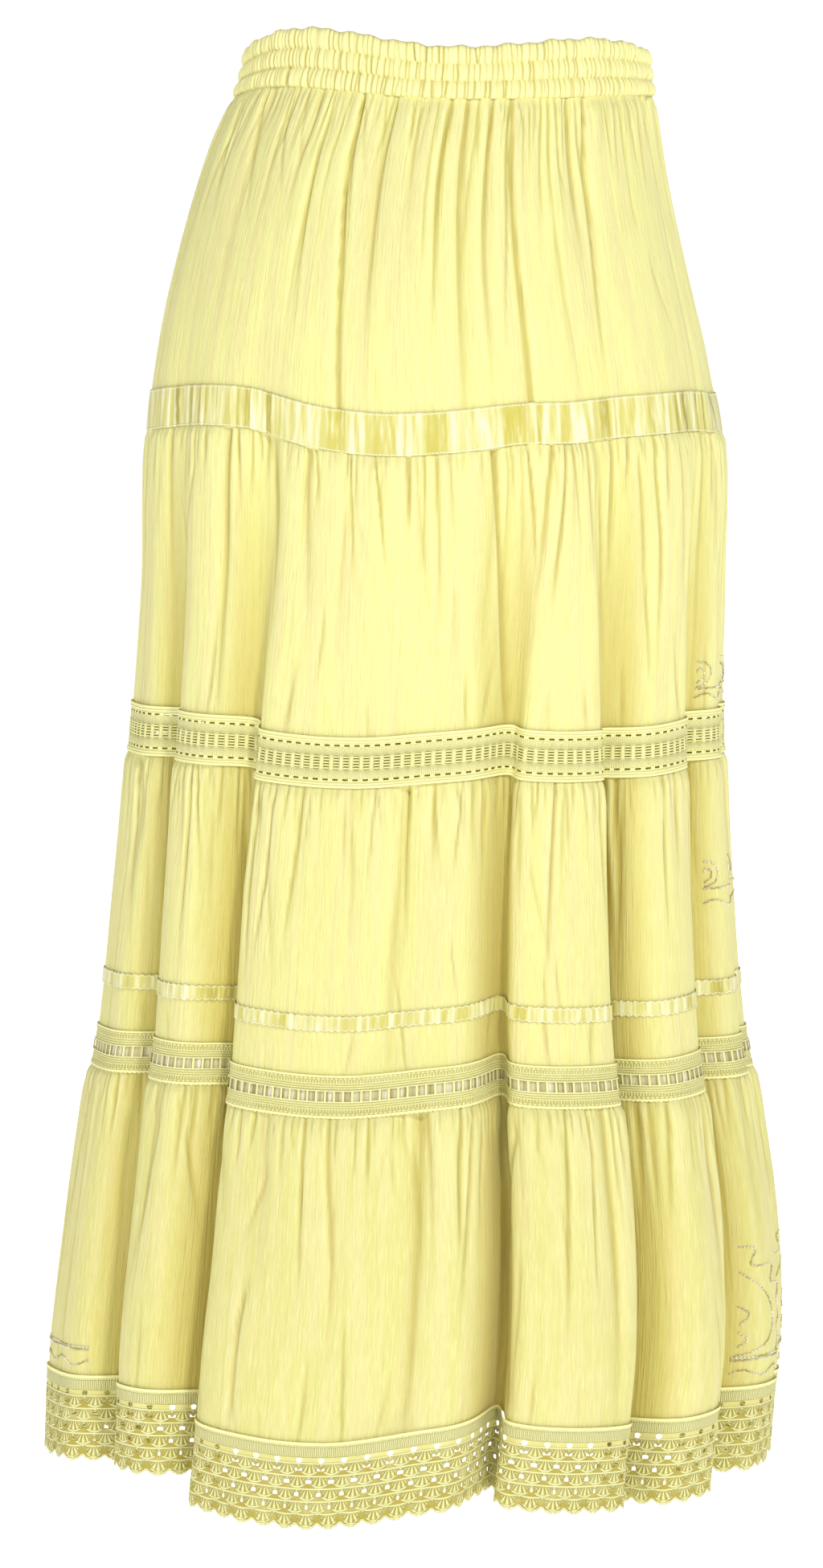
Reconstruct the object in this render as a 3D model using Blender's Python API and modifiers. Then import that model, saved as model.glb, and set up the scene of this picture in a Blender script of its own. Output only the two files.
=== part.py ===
"""A worn, ankle-length tiered skirt: an elastic waistband, four gathered cotton tiers, two satin ribbons
and three lace bands. +Z is up, -Y is the wearer's back, and the origin is the middle of the waist.

Every piece is a strip of one continuous surface. A point of that surface is given by an angle and a
height: 0 degrees is the middle of the back, and angles grow towards +X. The surface is an oval that
widens from the waist to the hem, with folds pressed into it that deepen downwards.
"""

import math

import bmesh
import bpy
import numpy as np

# Walls and gaps, in metres.
COTTON_WALL = 0.0012
SATIN_WALL = 0.0010
LACE_WALL = 0.0012
CASING_WALL = 0.0030
SEAM_GAP = 0.0004

# Widths of the trims, and the heights at which the tiers end.
WIDE_RIBBON = 0.025
INSERTION = 0.032
NARROW_RIBBON = 0.010
NARROW_RIBBON_UP = 0.029
BEADING = 0.026
THREADED_RIBBON = 0.009
HEM_LACE = 0.056
HIP_SEAM_Z = -0.231
INSERTION_Z = -0.451
BEADING_Z = -0.664
HEM_Z = -0.930

# The elastic casings of the waistband, and how far each puffs out between its rows of stitching.
CASINGS = 3
CASING_PUFF = 0.0020

# Colours and roughnesses.
COTTON = ((0.93, 0.88, 0.36), 0.85)
CASING_COTTON = ((0.92, 0.89, 0.42), 0.85)
SATIN = ((0.90, 0.86, 0.42), 0.32)
THREADED_SATIN = ((0.82, 0.80, 0.52), 0.35)
LACE = ((0.85, 0.79, 0.30), 0.90)

# The oval: height, half width, half depth, and the middle's X and Y.
OVAL = (
    (0.045, 0.1300, 0.100, 0.000, 0.000),
    (0.000, 0.1350, 0.104, -0.001, 0.000),
    (-0.050, 0.1500, 0.119, -0.008, -0.003),
    (-0.118, 0.1690, 0.138, -0.011, -0.007),
    (-0.183, 0.1850, 0.149, -0.010, -0.009),
    (-0.250, 0.1940, 0.154, -0.008, -0.009),
    (-0.347, 0.1965, 0.159, -0.010, -0.008),
    (-0.455, 0.2010, 0.167, -0.014, -0.006),
    (-0.543, 0.2095, 0.176, -0.016, -0.005),
    (-0.640, 0.2200, 0.185, -0.017, -0.004),
    (-0.700, 0.2310, 0.195, -0.017, -0.003),
    (-0.760, 0.2410, 0.204, -0.017, -0.003),
    (-0.840, 0.2490, 0.211, -0.020, -0.002),
    (-0.930, 0.2480, 0.213, -0.027, 0.000),
)

# Folds: angle at the waist, angle at the hem, half width, share of the full depth, and which
# side laps over the fold: 1 the side of greater angle, -1 the other.
FOLDS = (
    (-64.0, -56.5, 5.6, 0.85, 1),
    (-36.5, -37.5, 6.0, 0.96, 1),
    (18.0, 15.5, 6.0, 0.95, 1),
    (38.5, 37.5, 6.0, 0.95, -1),
    (67.5, 59.0, 5.4, 0.80, -1),
    (86.0, 87.0, 5.5, 0.70, 1),
    (110.0, 112.0, 5.6, 0.90, -1),
    (136.0, 137.0, 5.6, 0.85, 1),
    (162.0, 164.0, 6.0, 1.00, -1),
    (190.0, 189.0, 5.6, 0.90, 1),
    (216.0, 213.0, 5.6, 1.00, -1),
    (241.0, 239.0, 5.4, 0.85, 1),
    (265.0, 267.0, 5.4, 0.80, -1),
)
# How deep a full fold is, and how far its lip is drawn over it in half widths, at each height.
FOLD_DEPTH = ((0.05, 0.0), (-0.03, 0.0), (-0.236, 0.006), (-0.31, 0.012), (-0.455, 0.021),
              (-0.56, 0.033), (-0.666, 0.040), (-0.78, 0.049), (-0.90, 0.054), (-0.97, 0.053))
FOLD_LAP = ((0.05, 0.0), (-0.26, 0.0), (-0.34, 0.35), (-0.455, 0.75), (-0.60, 0.98),
            (-0.80, 1.12), (-0.97, 1.12))
LIP_AT, LIP_WIDTH = 1.10, 0.65

# How far the lobes between the folds hang up or down, as a share, by angle, and the full amount by height.
HANG = ((-90, 0.5), (-66, 0.9), (-52, 1.0), (-40, 0.8), (-29, -0.5), (-14, -0.9), (3, 0.0), (16, 0.4),
        (30, -0.6), (40, -0.7), (50, -0.5), (66, 0.2), (85, 0.0), (110, -0.6), (140, 0.6), (175, -0.6),
        (215, 0.5), (245, -0.4))
HANG_AMOUNT = ((0.05, 0.0), (-0.15, 0.001), (-0.231, 0.004), (-0.451, 0.005), (-0.66, 0.007),
               (-0.93, 0.012), (-0.97, 0.012))
# The hip seam dips at the middle of the back and at the sides.
HIP_DIP = 0.005

# Heights of the waistband's lower edge, and its width, by angle. It sits lower on the belly.
WAIST_SEAM = ((-90, -0.0135), (-56, -0.004), (0, -0.0095), (48, -0.0100), (90, -0.0135),
              (135, -0.027), (180, -0.033), (225, -0.027))
WAIST_WIDTH = ((-90, 0.030), (-40, 0.039), (0, 0.034), (48, 0.038), (90, 0.029), (135, 0.033),
               (180, 0.035), (225, 0.033))

# Columns of faces run down the skirt with the folds. A column's place is a number: n is the bottom of
# the fold FOLDS[n], and n + 0.5 is half way to the next one.
COLUMNS = 62
SHARPEST_BEND = 0.020
LEFT_SEAM = -0.42
RIGHT_SEAM = 4.14
BESIDE_SEAM = 0.05


def smooth(points, x):
    """A smooth curve through (x, value) points, read at x."""
    at = np.array(sorted(points), float)
    slope = np.gradient(at[:, 1], at[:, 0])
    x = np.clip(x, at[0, 0], at[-1, 0])
    i = np.clip(np.searchsorted(at[:, 0], x) - 1, 0, len(at) - 2)
    span = at[i + 1, 0] - at[i, 0]
    t = (x - at[i, 0]) / span
    ease = t * t * (3 - 2 * t)
    start, end = t * (1 - t) ** 2, t * t * (t - 1)
    return at[i, 1] * (1 - ease) + at[i + 1, 1] * ease + span * (start * slope[i] + end * slope[i + 1])


def smooth_round(points, angle):
    """The same for a closed ring of (angle, value) points, in degrees."""
    turns = [(a + 360 * k, value) for k in (-1, 0, 1) for a, value in points]
    return smooth(turns, (angle + 90) % 360 - 90)


def column_of(table, number, z):
    return smooth([(row[0], row[number]) for row in table], z)


def oval(angle, z):
    """A point of the oval, and its outward direction, in plan."""
    a = np.radians(angle)
    wide, deep = column_of(OVAL, 1, z), column_of(OVAL, 2, z)
    x = column_of(OVAL, 3, z) + wide * np.sin(a)
    y = column_of(OVAL, 4, z) - deep * np.cos(a)
    out_x, out_y = deep * np.sin(a), -wide * np.cos(a)
    length = np.hypot(out_x, out_y)
    return x, y, out_x / length, out_y / length


def surface(angle, z):
    """The skirt's points at angles and heights."""
    angle, z = np.broadcast_arrays(np.asarray(angle, float), np.asarray(z, float))
    down = np.clip(z / HEM_Z, 0, 1)
    inward, turn = np.zeros(angle.shape), np.zeros(angle.shape)
    depth, lap = smooth(FOLD_DEPTH, z), smooth(FOLD_LAP, z)
    for top, bottom, half_width, share, lip in FOLDS:
        away = (angle - (top + (bottom - top) * down) + 180) % 360 - 180
        t = away / half_width
        inward += share * depth * np.exp(-t * t)
        turn -= lip * share * lap * half_width * np.exp(-(((t * lip - LIP_AT) / LIP_WIDTH) ** 2))
    x, y, out_x, out_y = oval(angle + turn, z)
    return np.stack([x - out_x * inward, y - out_y * inward, z], -1)


def hang(angle, z):
    return smooth_round(HANG, angle) * smooth(HANG_AMOUNT, np.full(np.shape(angle), z))


def waist_seam(angle):
    return smooth_round(WAIST_SEAM, angle)


def waist_top(angle):
    return waist_seam(angle) + smooth_round(WAIST_WIDTH, angle)


def hip_seam(angle):
    return HIP_SEAM_Z - HIP_DIP * np.cos(np.radians(4 * angle)) + hang(angle, HIP_SEAM_Z)


def insertion_foot(angle):
    return INSERTION_Z + hang(angle, INSERTION_Z)


def insertion_head(angle):
    return insertion_foot(angle) + INSERTION


def beading_foot(angle):
    return BEADING_Z + hang(angle, BEADING_Z)


def beading_head(angle):
    return beading_foot(angle) + BEADING


def hem_foot(angle):
    return HEM_Z + hang(angle, HEM_Z)


def hem_head(angle):
    return hem_foot(angle) + HEM_LACE


def above(edge, distance):
    """The edge, moved up by a distance."""
    return lambda angle: edge(angle) + distance


def between(head, foot, share):
    """An edge that lies a share of the way down from one edge to another."""
    return lambda angle: head(angle) * (1 - share) + foot(angle) * share


def fold_angle(number, down):
    """The angle of a fold's bottom, where down is 0 at the waist and 1 at the hem. Numbers run on
    past the last fold, one turn further round."""
    turns, which = divmod(number, len(FOLDS))
    top, bottom = FOLDS[which][:2]
    return top + (bottom - top) * down + 360 * turns


def angle_at(place, z):
    """The angle of a column's place at a height."""
    down = np.clip(z / HEM_Z, 0, 1)
    number = math.floor(place)
    share = place - number
    return (1 - share) * fold_angle(number, down) + share * fold_angle(number + 1, down)


def places_round():
    """The places of the columns, closest together where the cloth bends most."""
    fine = np.linspace(LEFT_SEAM, LEFT_SEAM + len(FOLDS), 4001)
    wanted = np.zeros(len(fine) - 2)
    for z in (INSERTION_Z, BEADING_Z, HEM_Z):
        points = surface(np.array([angle_at(place, z) for place in fine]), np.full(fine.shape, z))[:, :2]
        step = np.diff(points, axis=0)
        length = np.linalg.norm(step, axis=1)
        step /= length[:, None]
        bend = np.linalg.norm(np.diff(step, axis=0), axis=1) / length[1:]
        wanted += np.sqrt(np.minimum(bend, 1 / SHARPEST_BEND)) * length[1:]
    share = np.cumsum(wanted) / wanted.sum()
    return np.interp((np.arange(COLUMNS) + 0.5) / COLUMNS, share, fine[1:-1])


def panel_places(side):
    """The places of the back or front panel's columns, from one side seam to the other."""
    start, end = (LEFT_SEAM, RIGHT_SEAM) if side == "back" else (RIGHT_SEAM, LEFT_SEAM + len(FOLDS))
    # A narrow column beside each seam lets the two panels' ends face each other squarely.
    first, last = start + BESIDE_SEAM, end - BESIDE_SEAM
    inner = [place for place in places_round() if first + 0.03 < place < last - 0.03]
    return [start, first, *inner, last, end]


def panel_points(side, edges):
    """The grid of a panel: a row along each edge from the top down, less half a seam gap all round."""
    places = panel_places(side)
    angle, z = np.zeros((len(edges), len(places))), np.zeros((len(edges), len(places)))
    for r, edge in enumerate(edges):
        inset = SEAM_GAP / 2 * ((r == len(edges) - 1) - (r == 0))
        for c, place in enumerate(places):
            z[r, c] = HIP_SEAM_Z
            for _ in range(4):
                z[r, c] = edge(angle_at(place, z[r, c])) + inset
            angle[r, c] = angle_at(place, z[r, c])
    for end, way in ((0, 1), (-1, -1)):
        here, further = surface(angle[:, end], z[:, end]), surface(angle[:, end] + way, z[:, end])
        angle[:, end] += way * SEAM_GAP / 2 / np.linalg.norm(further - here, axis=1)
    return surface(angle, z)


def outward_normals(points):
    """A level unit vector at each point of a grid, square to the cloth and pointing out of the skirt."""
    down, along = points[1:] - points[:-1], points[:, 1:] - points[:, :-1]
    face = np.cross(down[:, 1:] + down[:, :-1], along[1:] + along[:-1])
    face /= np.linalg.norm(face, axis=-1, keepdims=True)
    total = np.zeros(points.shape)
    total[:-1, :-1] += face
    total[1:, :-1] += face
    total[:-1, 1:] += face
    total[1:, 1:] += face
    total[..., 2] = 0
    return total / np.linalg.norm(total, axis=-1, keepdims=True)


def material(name, finish):
    colour, roughness = finish
    made = bpy.data.materials.new(name)
    made.use_nodes = True
    shader = made.node_tree.nodes["Principled BSDF"]
    shader.inputs["Base Color"].default_value = (*colour, 1.0)
    shader.inputs["Roughness"].default_value = roughness
    shader.inputs["Metallic"].default_value = 0.0
    return made


def wall(name, points, thickness, finish, collection):
    """A closed wall about a grid of points, rows from the top down and columns by rising angle."""
    rows, count = points.shape[:2]
    sheet = bpy.data.meshes.new(name)
    build = bmesh.new()
    corners = [build.verts.new(point) for point in points.reshape(-1, 3)]
    for r in range(rows - 1):
        for c in range(count - 1):
            here, right = r * count + c, r * count + c + 1
            build.faces.new((corners[here], corners[here + count], corners[right + count]))
            build.faces.new((corners[here], corners[right + count], corners[right]))
    build.to_mesh(sheet)
    build.free()
    sheet.shade_smooth()
    sheet.materials.append(material(name, finish))
    piece = bpy.data.objects.new(name, sheet)
    collection.objects.link(piece)
    shell = piece.modifiers.new("wall", "SOLIDIFY")
    shell.thickness = thickness
    shell.offset = 0.0
    # Both faces of the wall keep the heights of the sheet's points, so its rims are level and the
    # gaps at the seams are even.
    solid = bpy.data.meshes.new_from_object(piece.evaluated_get(bpy.context.evaluated_depsgraph_get()))
    for corner in solid.vertices:
        corner.co.z = points[..., 2].flat[corner.index % (rows * count)]
    piece.modifiers.clear()
    piece.data = solid


def on_top(name, panel, row, under, thickness, finish, collection):
    """A ribbon on one row of a panel of a given wall: the panel's own points, moved out."""
    clear = under / 2 + SEAM_GAP + thickness / 2
    points = panel + outward_normals(panel) * clear
    wall(name, points[row:row + 2], thickness, finish, collection)


def waistband(side, collection):
    """Three elastic casings, one above the other, each puffed out between its rows of stitching."""
    rows = 2 * CASINGS
    points = panel_points(side, [between(waist_top, waist_seam, r / rows) for r in range(rows + 1)])
    puff = np.where(np.arange(rows + 1) % 2, CASING_PUFF, 0.0)[:, None, None]
    wall(f"waistband_{side}", points + outward_normals(points) * puff, CASING_WALL, CASING_COTTON, collection)


def tier_1(side, collection):
    ribbon_head = above(hip_seam, WIDE_RIBBON)
    panel = panel_points(side, [waist_seam, between(waist_seam, ribbon_head, 0.5), ribbon_head, hip_seam])
    wall(f"tier_1_{side}", panel, COTTON_WALL, COTTON, collection)
    on_top(f"wide_ribbon_{side}", panel, 2, COTTON_WALL, SATIN_WALL, SATIN, collection)


def tier_2(side, collection):
    panel = panel_points(side, [hip_seam, between(hip_seam, insertion_head, 0.5), insertion_head])
    wall(f"tier_2_{side}", panel, COTTON_WALL, COTTON, collection)


def lace_insertion(side, collection):
    panel = panel_points(side, [insertion_head, insertion_foot])
    wall(f"lace_insertion_{side}", panel, LACE_WALL, LACE, collection)


def tier_3(side, collection):
    ribbon_foot = above(beading_head, NARROW_RIBBON_UP)
    ribbon_head = above(ribbon_foot, NARROW_RIBBON)
    panel = panel_points(side, [insertion_foot, between(insertion_foot, ribbon_head, 0.5), ribbon_head,
                                ribbon_foot, beading_head])
    wall(f"tier_3_{side}", panel, COTTON_WALL, COTTON, collection)
    on_top(f"narrow_ribbon_{side}", panel, 2, COTTON_WALL, SATIN_WALL, SATIN, collection)


def beading(side, collection):
    """A lace band with a row of windows, and the ribbon that runs along them."""
    margin = (BEADING - THREADED_RIBBON) / 2
    panel = panel_points(side, [beading_head, above(beading_foot, BEADING - margin),
                                above(beading_foot, margin), beading_foot])
    wall(f"beading_{side}", panel, LACE_WALL, LACE, collection)
    on_top(f"threaded_ribbon_{side}", panel, 1, LACE_WALL, SATIN_WALL, THREADED_SATIN, collection)


def tier_4(side, collection):
    panel = panel_points(side, [beading_foot, between(beading_foot, hem_head, 0.5), hem_head])
    wall(f"tier_4_{side}", panel, COTTON_WALL, COTTON, collection)


def hem_lace(side, collection):
    wall(f"hem_lace_{side}", panel_points(side, [hem_head, hem_foot]), LACE_WALL, LACE, collection)


def clear_scene():
    for old in list(bpy.data.objects):
        bpy.data.objects.remove(old)


def main():
    clear_scene()
    skirt = bpy.data.collections.new("tiered_skirt")
    bpy.context.scene.collection.children.link(skirt)
    for side in ("back", "front"):
        waistband(side, skirt)
        tier_1(side, skirt)
        tier_2(side, skirt)
        lace_insertion(side, skirt)
        tier_3(side, skirt)
        beading(side, skirt)
        tier_4(side, skirt)
        hem_lace(side, skirt)


main()
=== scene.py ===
"""The looks of the tiered skirt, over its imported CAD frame.

Each CAD piece is replaced by one thin shell that runs the whole way round the skirt. The shells lie on
the surface that the CAD walls follow, with gathers, creases and lace openings modelled on it. Lengths
are in metres.
"""

import math

import bpy
import numpy as np
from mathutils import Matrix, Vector


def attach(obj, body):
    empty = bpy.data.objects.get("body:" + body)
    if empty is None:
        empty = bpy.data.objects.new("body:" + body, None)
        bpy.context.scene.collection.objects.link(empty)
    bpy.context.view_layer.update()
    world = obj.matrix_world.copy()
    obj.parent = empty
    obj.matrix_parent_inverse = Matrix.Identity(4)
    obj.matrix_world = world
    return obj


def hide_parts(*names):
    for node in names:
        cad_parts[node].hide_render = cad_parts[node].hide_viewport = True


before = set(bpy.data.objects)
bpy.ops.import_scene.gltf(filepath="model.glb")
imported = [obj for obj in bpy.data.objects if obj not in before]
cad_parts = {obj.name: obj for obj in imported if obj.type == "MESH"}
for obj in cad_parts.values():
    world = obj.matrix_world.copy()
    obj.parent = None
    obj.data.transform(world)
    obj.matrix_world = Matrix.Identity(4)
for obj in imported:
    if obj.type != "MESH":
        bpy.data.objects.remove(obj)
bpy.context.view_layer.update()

# ---------------------------------------------------------------- the surface that the CAD follows

# Heights of the bands, and the heights of the seams.
WIDE_RIBBON = 0.025
INSERTION = 0.032
NARROW_RIBBON = 0.01
NARROW_RIBBON_UP = 0.029
BEADING = 0.026
THREADED_RIBBON = 0.009
HEM_LACE = 0.056
HIP_SEAM_Z = -0.231
INSERTION_Z = -0.451
BEADING_Z = -0.664
HEM_Z = -0.93

# The oval: height, half width, half depth, and the middle's X and Y.
OVAL = np.array((
    (0.045, 0.13, 0.1, 0.000, 0.000),
    (0.000, 0.135, 0.104, -0.001, 0.000),
    (-0.05, 0.15, 0.119, -0.008, -0.003),
    (-0.118, 0.169, 0.138, -0.011, -0.007),
    (-0.183, 0.185, 0.149, -0.01, -0.009),
    (-0.25, 0.194, 0.154, -0.008, -0.009),
    (-0.347, 0.1965, 0.159, -0.01, -0.008),
    (-0.455, 0.201, 0.167, -0.014, -0.006),
    (-0.543, 0.2095, 0.176, -0.016, -0.005),
    (-0.64, 0.22, 0.185, -0.017, -0.004),
    (-0.7, 0.231, 0.195, -0.017, -0.003),
    (-0.76, 0.241, 0.204, -0.017, -0.003),
    (-0.84, 0.249, 0.211, -0.02, -0.002),
    (-0.93, 0.248, 0.213, -0.027, 0.000),
))
# Folds: angle at the waist, angle at the hem, half width, share of the full depth, lapping side.
FOLDS = np.array((
    (-64.0, -56.5, 5.6, 0.85, 1),
    (-36.5, -37.5, 6.0, 0.96, 1),
    (18.0, 15.5, 6.0, 0.95, 1),
    (38.5, 37.5, 6.0, 0.95, -1),
    (67.5, 59.0, 5.4, 0.8, -1),
    (86.0, 87.0, 5.5, 0.7, 1),
    (110.0, 112.0, 5.6, 0.9, -1),
    (136.0, 137.0, 5.6, 0.85, 1),
    (162.0, 164.0, 6.0, 1.00, -1),
    (190.0, 189.0, 5.6, 0.9, 1),
    (216.0, 213.0, 5.6, 1.00, -1),
    (241.0, 239.0, 5.4, 0.85, 1),
    (265.0, 267.0, 5.4, 0.8, -1),
))
FOLD_DEPTH = ((0.05, 0.0), (-0.03, 0.0), (-0.236, 0.006), (-0.31, 0.012), (-0.455, 0.021),
              (-0.56, 0.033), (-0.666, 0.04), (-0.78, 0.049), (-0.9, 0.054), (-0.97, 0.053))
FOLD_LAP = ((0.05, 0.0), (-0.26, 0.0), (-0.34, 0.35), (-0.455, 0.75), (-0.6, 0.98),
            (-0.8, 1.12), (-0.97, 1.12))
LIP_AT, LIP_WIDTH = 1.1, 0.65     # where a fold laps over, in half widths
HANG = ((-90, 0.5), (-66, 0.9), (-52, 1.0), (-40, 0.8), (-29, -0.5), (-14, -0.9), (3, 0.0), (16, 0.4),
        (30, -0.6), (40, -0.7), (50, -0.5), (66, 0.2), (85, 0.0), (110, -0.6), (140, 0.6), (175, -0.6),
        (215, 0.5), (245, -0.4))
HANG_AMOUNT = ((0.05, 0.0), (-0.15, 0.001), (-0.231, 0.004), (-0.451, 0.005), (-0.66, 0.007),
               (-0.93, 0.012), (-0.97, 0.012))
HIP_DIP = 0.005
WAIST_SEAM = ((-90, -0.0135), (-56, -0.004), (0, -0.0095), (48, -0.01), (90, -0.0135),
              (135, -0.027), (180, -0.033), (225, -0.027))
WAIST_WIDTH = ((-90, 0.03), (-40, 0.039), (0, 0.034), (48, 0.038), (90, 0.029), (135, 0.033),
               (180, 0.035), (225, 0.033))
LEFT_SEAM, RIGHT_SEAM = -0.42, 4.14    # places between folds, counted as angle_at counts them


def smooth(points, x):
    """A smooth curve through (x, value) points, read at x."""
    at = np.array(sorted(points), float)
    slope = np.gradient(at[:, 1], at[:, 0])
    x = np.clip(x, at[0, 0], at[-1, 0])
    i = np.clip(np.searchsorted(at[:, 0], x) - 1, 0, len(at) - 2)
    span = at[i + 1, 0] - at[i, 0]
    t = (x - at[i, 0]) / span
    ease = t * t * (3 - 2 * t)
    start, end = t * (1 - t) ** 2, t * t * (t - 1)
    return at[i, 1] * (1 - ease) + at[i + 1, 1] * ease + span * (start * slope[i] + end * slope[i + 1])


def smooth_round(points, angle):
    turns = [(a + 360 * k, value) for k in (-1, 0, 1) for a, value in points]
    return smooth(turns, (angle + 90) % 360 - 90)


def oval(angle, z):
    a = np.radians(angle)
    wide, deep, mid_x, mid_y = (smooth(list(zip(OVAL[:, 0], OVAL[:, n])), z) for n in (1, 2, 3, 4))
    out_x, out_y = deep * np.sin(a), -wide * np.cos(a)
    length = np.hypot(out_x, out_y)
    return mid_x + wide * np.sin(a), mid_y - deep * np.cos(a), out_x / length, out_y / length


def surface(angle, z):
    """The skirt's points at angles and heights: the oval with the folds pressed into it."""
    angle, z = np.broadcast_arrays(np.asarray(angle, float), np.asarray(z, float))
    down = np.clip(z / HEM_Z, 0, 1)
    inward, turn = np.zeros(angle.shape), np.zeros(angle.shape)
    depth, lap = smooth(FOLD_DEPTH, z), smooth(FOLD_LAP, z)
    for top, bottom, half_width, share, lip in FOLDS:
        away = (angle - (top + (bottom - top) * down) + 180) % 360 - 180
        t = away / half_width
        inward += share * depth * np.exp(-t * t)
        turn -= lip * share * lap * half_width * np.exp(-(((t * lip - LIP_AT) / LIP_WIDTH) ** 2))
    x, y, out_x, out_y = oval(angle + turn, z)
    return np.stack([x - out_x * inward, y - out_y * inward, z], -1)


def hang(angle, z):
    return smooth_round(HANG, angle) * smooth(HANG_AMOUNT, np.full(np.shape(angle), z))


def waist_seam(angle):
    return smooth_round(WAIST_SEAM, angle)


def waist_top(angle):
    return waist_seam(angle) + smooth_round(WAIST_WIDTH, angle)


def hip_seam(angle):
    return HIP_SEAM_Z - HIP_DIP * np.cos(np.radians(4 * angle)) + hang(angle, HIP_SEAM_Z)


def edges(z, height):
    """The head and the foot of a band that hangs at a height."""
    def foot(angle):
        return z + hang(angle, z)

    return lambda angle: foot(angle) + height, foot


insertion_head, insertion_foot = edges(INSERTION_Z, INSERTION)
beading_head, beading_foot = edges(BEADING_Z, BEADING)
hem_head, hem_foot = edges(HEM_Z, HEM_LACE)


def angle_at(place, z):
    """The angle of a column's place at a height. Place n is the bottom of fold n."""
    down = np.clip(z / HEM_Z, 0, 1)
    number = np.floor(place).astype(int)
    share = place - number

    def bottom_of(fold):
        turns, which = np.divmod(fold, len(FOLDS))
        return FOLDS[which, 0] + (FOLDS[which, 1] - FOLDS[which, 0]) * down + 360 * turns

    return (1 - share) * bottom_of(number) + share * bottom_of(number + 1)


class Strip:
    """A strip of the skirt between two edges. s runs round it in metres, from the left side seam, and
    t runs down it from 0 at the head to 1 at the foot."""

    def __init__(self, head, foot):
        self.head, self.foot = head, foot
        every = np.arange(0, 360, 5.0)
        self.height = float(np.mean(head(every) - foot(every)))
        middle = float(np.mean(head(every) + foot(every)) / 2)
        self.fine = np.linspace(LEFT_SEAM, LEFT_SEAM + len(FOLDS), 8001)
        line = surface(angle_at(self.fine, middle), np.full(self.fine.shape, middle))
        self.along = np.concatenate([[0], np.cumsum(np.linalg.norm(np.diff(line, axis=0), axis=1))])
        self.length = float(self.along[-1])

    def columns(self, pitch):
        """Evenly spaced columns round the strip, about pitch apart."""
        count = round(self.length / pitch)
        return np.arange(count) * self.length / count

    def where(self, s, t):
        """The angle and height at s and t."""
        s, t = np.broadcast_arrays(np.asarray(s, float), np.asarray(t, float))
        turns = np.floor(s / self.length)
        place = np.interp(s - turns * self.length, self.along, self.fine) + turns * len(FOLDS)
        z = np.full(s.shape, HIP_SEAM_Z)
        for _ in range(3):
            angle = angle_at(place, z)
            z = self.head(angle) * (1 - t) + self.foot(angle) * t
        return angle_at(place, z), z

    def seen_at(self, x, z):
        """The s of the back's place at an x and a height, as seen from behind."""
        line = surface(angle_at(self.fine, z), np.full(self.fine.shape, z))
        return float(self.along[np.argmin(line[:, 1] + 60 * np.maximum(abs(line[:, 0] - x) - 0.0006, 0))])

    def below_head(self, s, z):
        angle = angle_at(np.interp(s, self.along, self.fine), z)
        return float((self.head(angle) - z) / (self.head(angle) - self.foot(angle)) * self.height)

    def opposite(self, s):
        """The place on the front that mirrors a place on the back."""
        return (2 * float(np.interp(RIGHT_SEAM, self.fine, self.along)) - s) % self.length

    def at(self, s, t, out=0.0):
        """Points on the strip, moved out square to it by a distance."""
        angle, z = self.where(s, t)
        tangent = surface(angle + 0.15, z) - surface(angle - 0.15, z)
        level = np.stack([tangent[..., 1], -tangent[..., 0], np.zeros(z.shape)], -1)
        level /= np.linalg.norm(level, axis=-1, keepdims=True)
        return surface(angle, z) + level * np.asarray(out)[..., None]


# ---------------------------------------------------------------- gathers and creases


def ease(x, start, end):
    """0 before start, 1 after end, and smooth between."""
    t = np.clip((x - start) / (end - start), 0, 1)
    return t * t * (3 - 2 * t)


def creased(out, step, reach, full):
    """How far each point of a ring lies in or above its neighbours within a reach, from 0 to 1."""
    waves = np.fft.rfftfreq(out.shape[1], step)
    blur = np.exp(-2 * (np.pi * waves * reach) ** 2)
    near = np.fft.irfft(np.fft.rfft(out, axis=1) * blur, out.shape[1], axis=1)
    return np.clip((near - out) / full, 0, 1), np.clip((out - near) / full, 0, 1)


HEAD_LEFT = 0.25                   # the share of its relief that a tier keeps at its head
EVENED = 0.8                       # how much of each row's mean relief is taken off
PUFF_RISE, PUFF_FADE = 0.006, 0.07
SEAM_HALF = 0.0015
FINE_REACH, FINE_FULL = 0.002, 0.0005      # what the shading takes for a fine crease, and for a broad one
BROAD_REACH, BROAD_FULL = 0.0065, 0.0026


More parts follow.
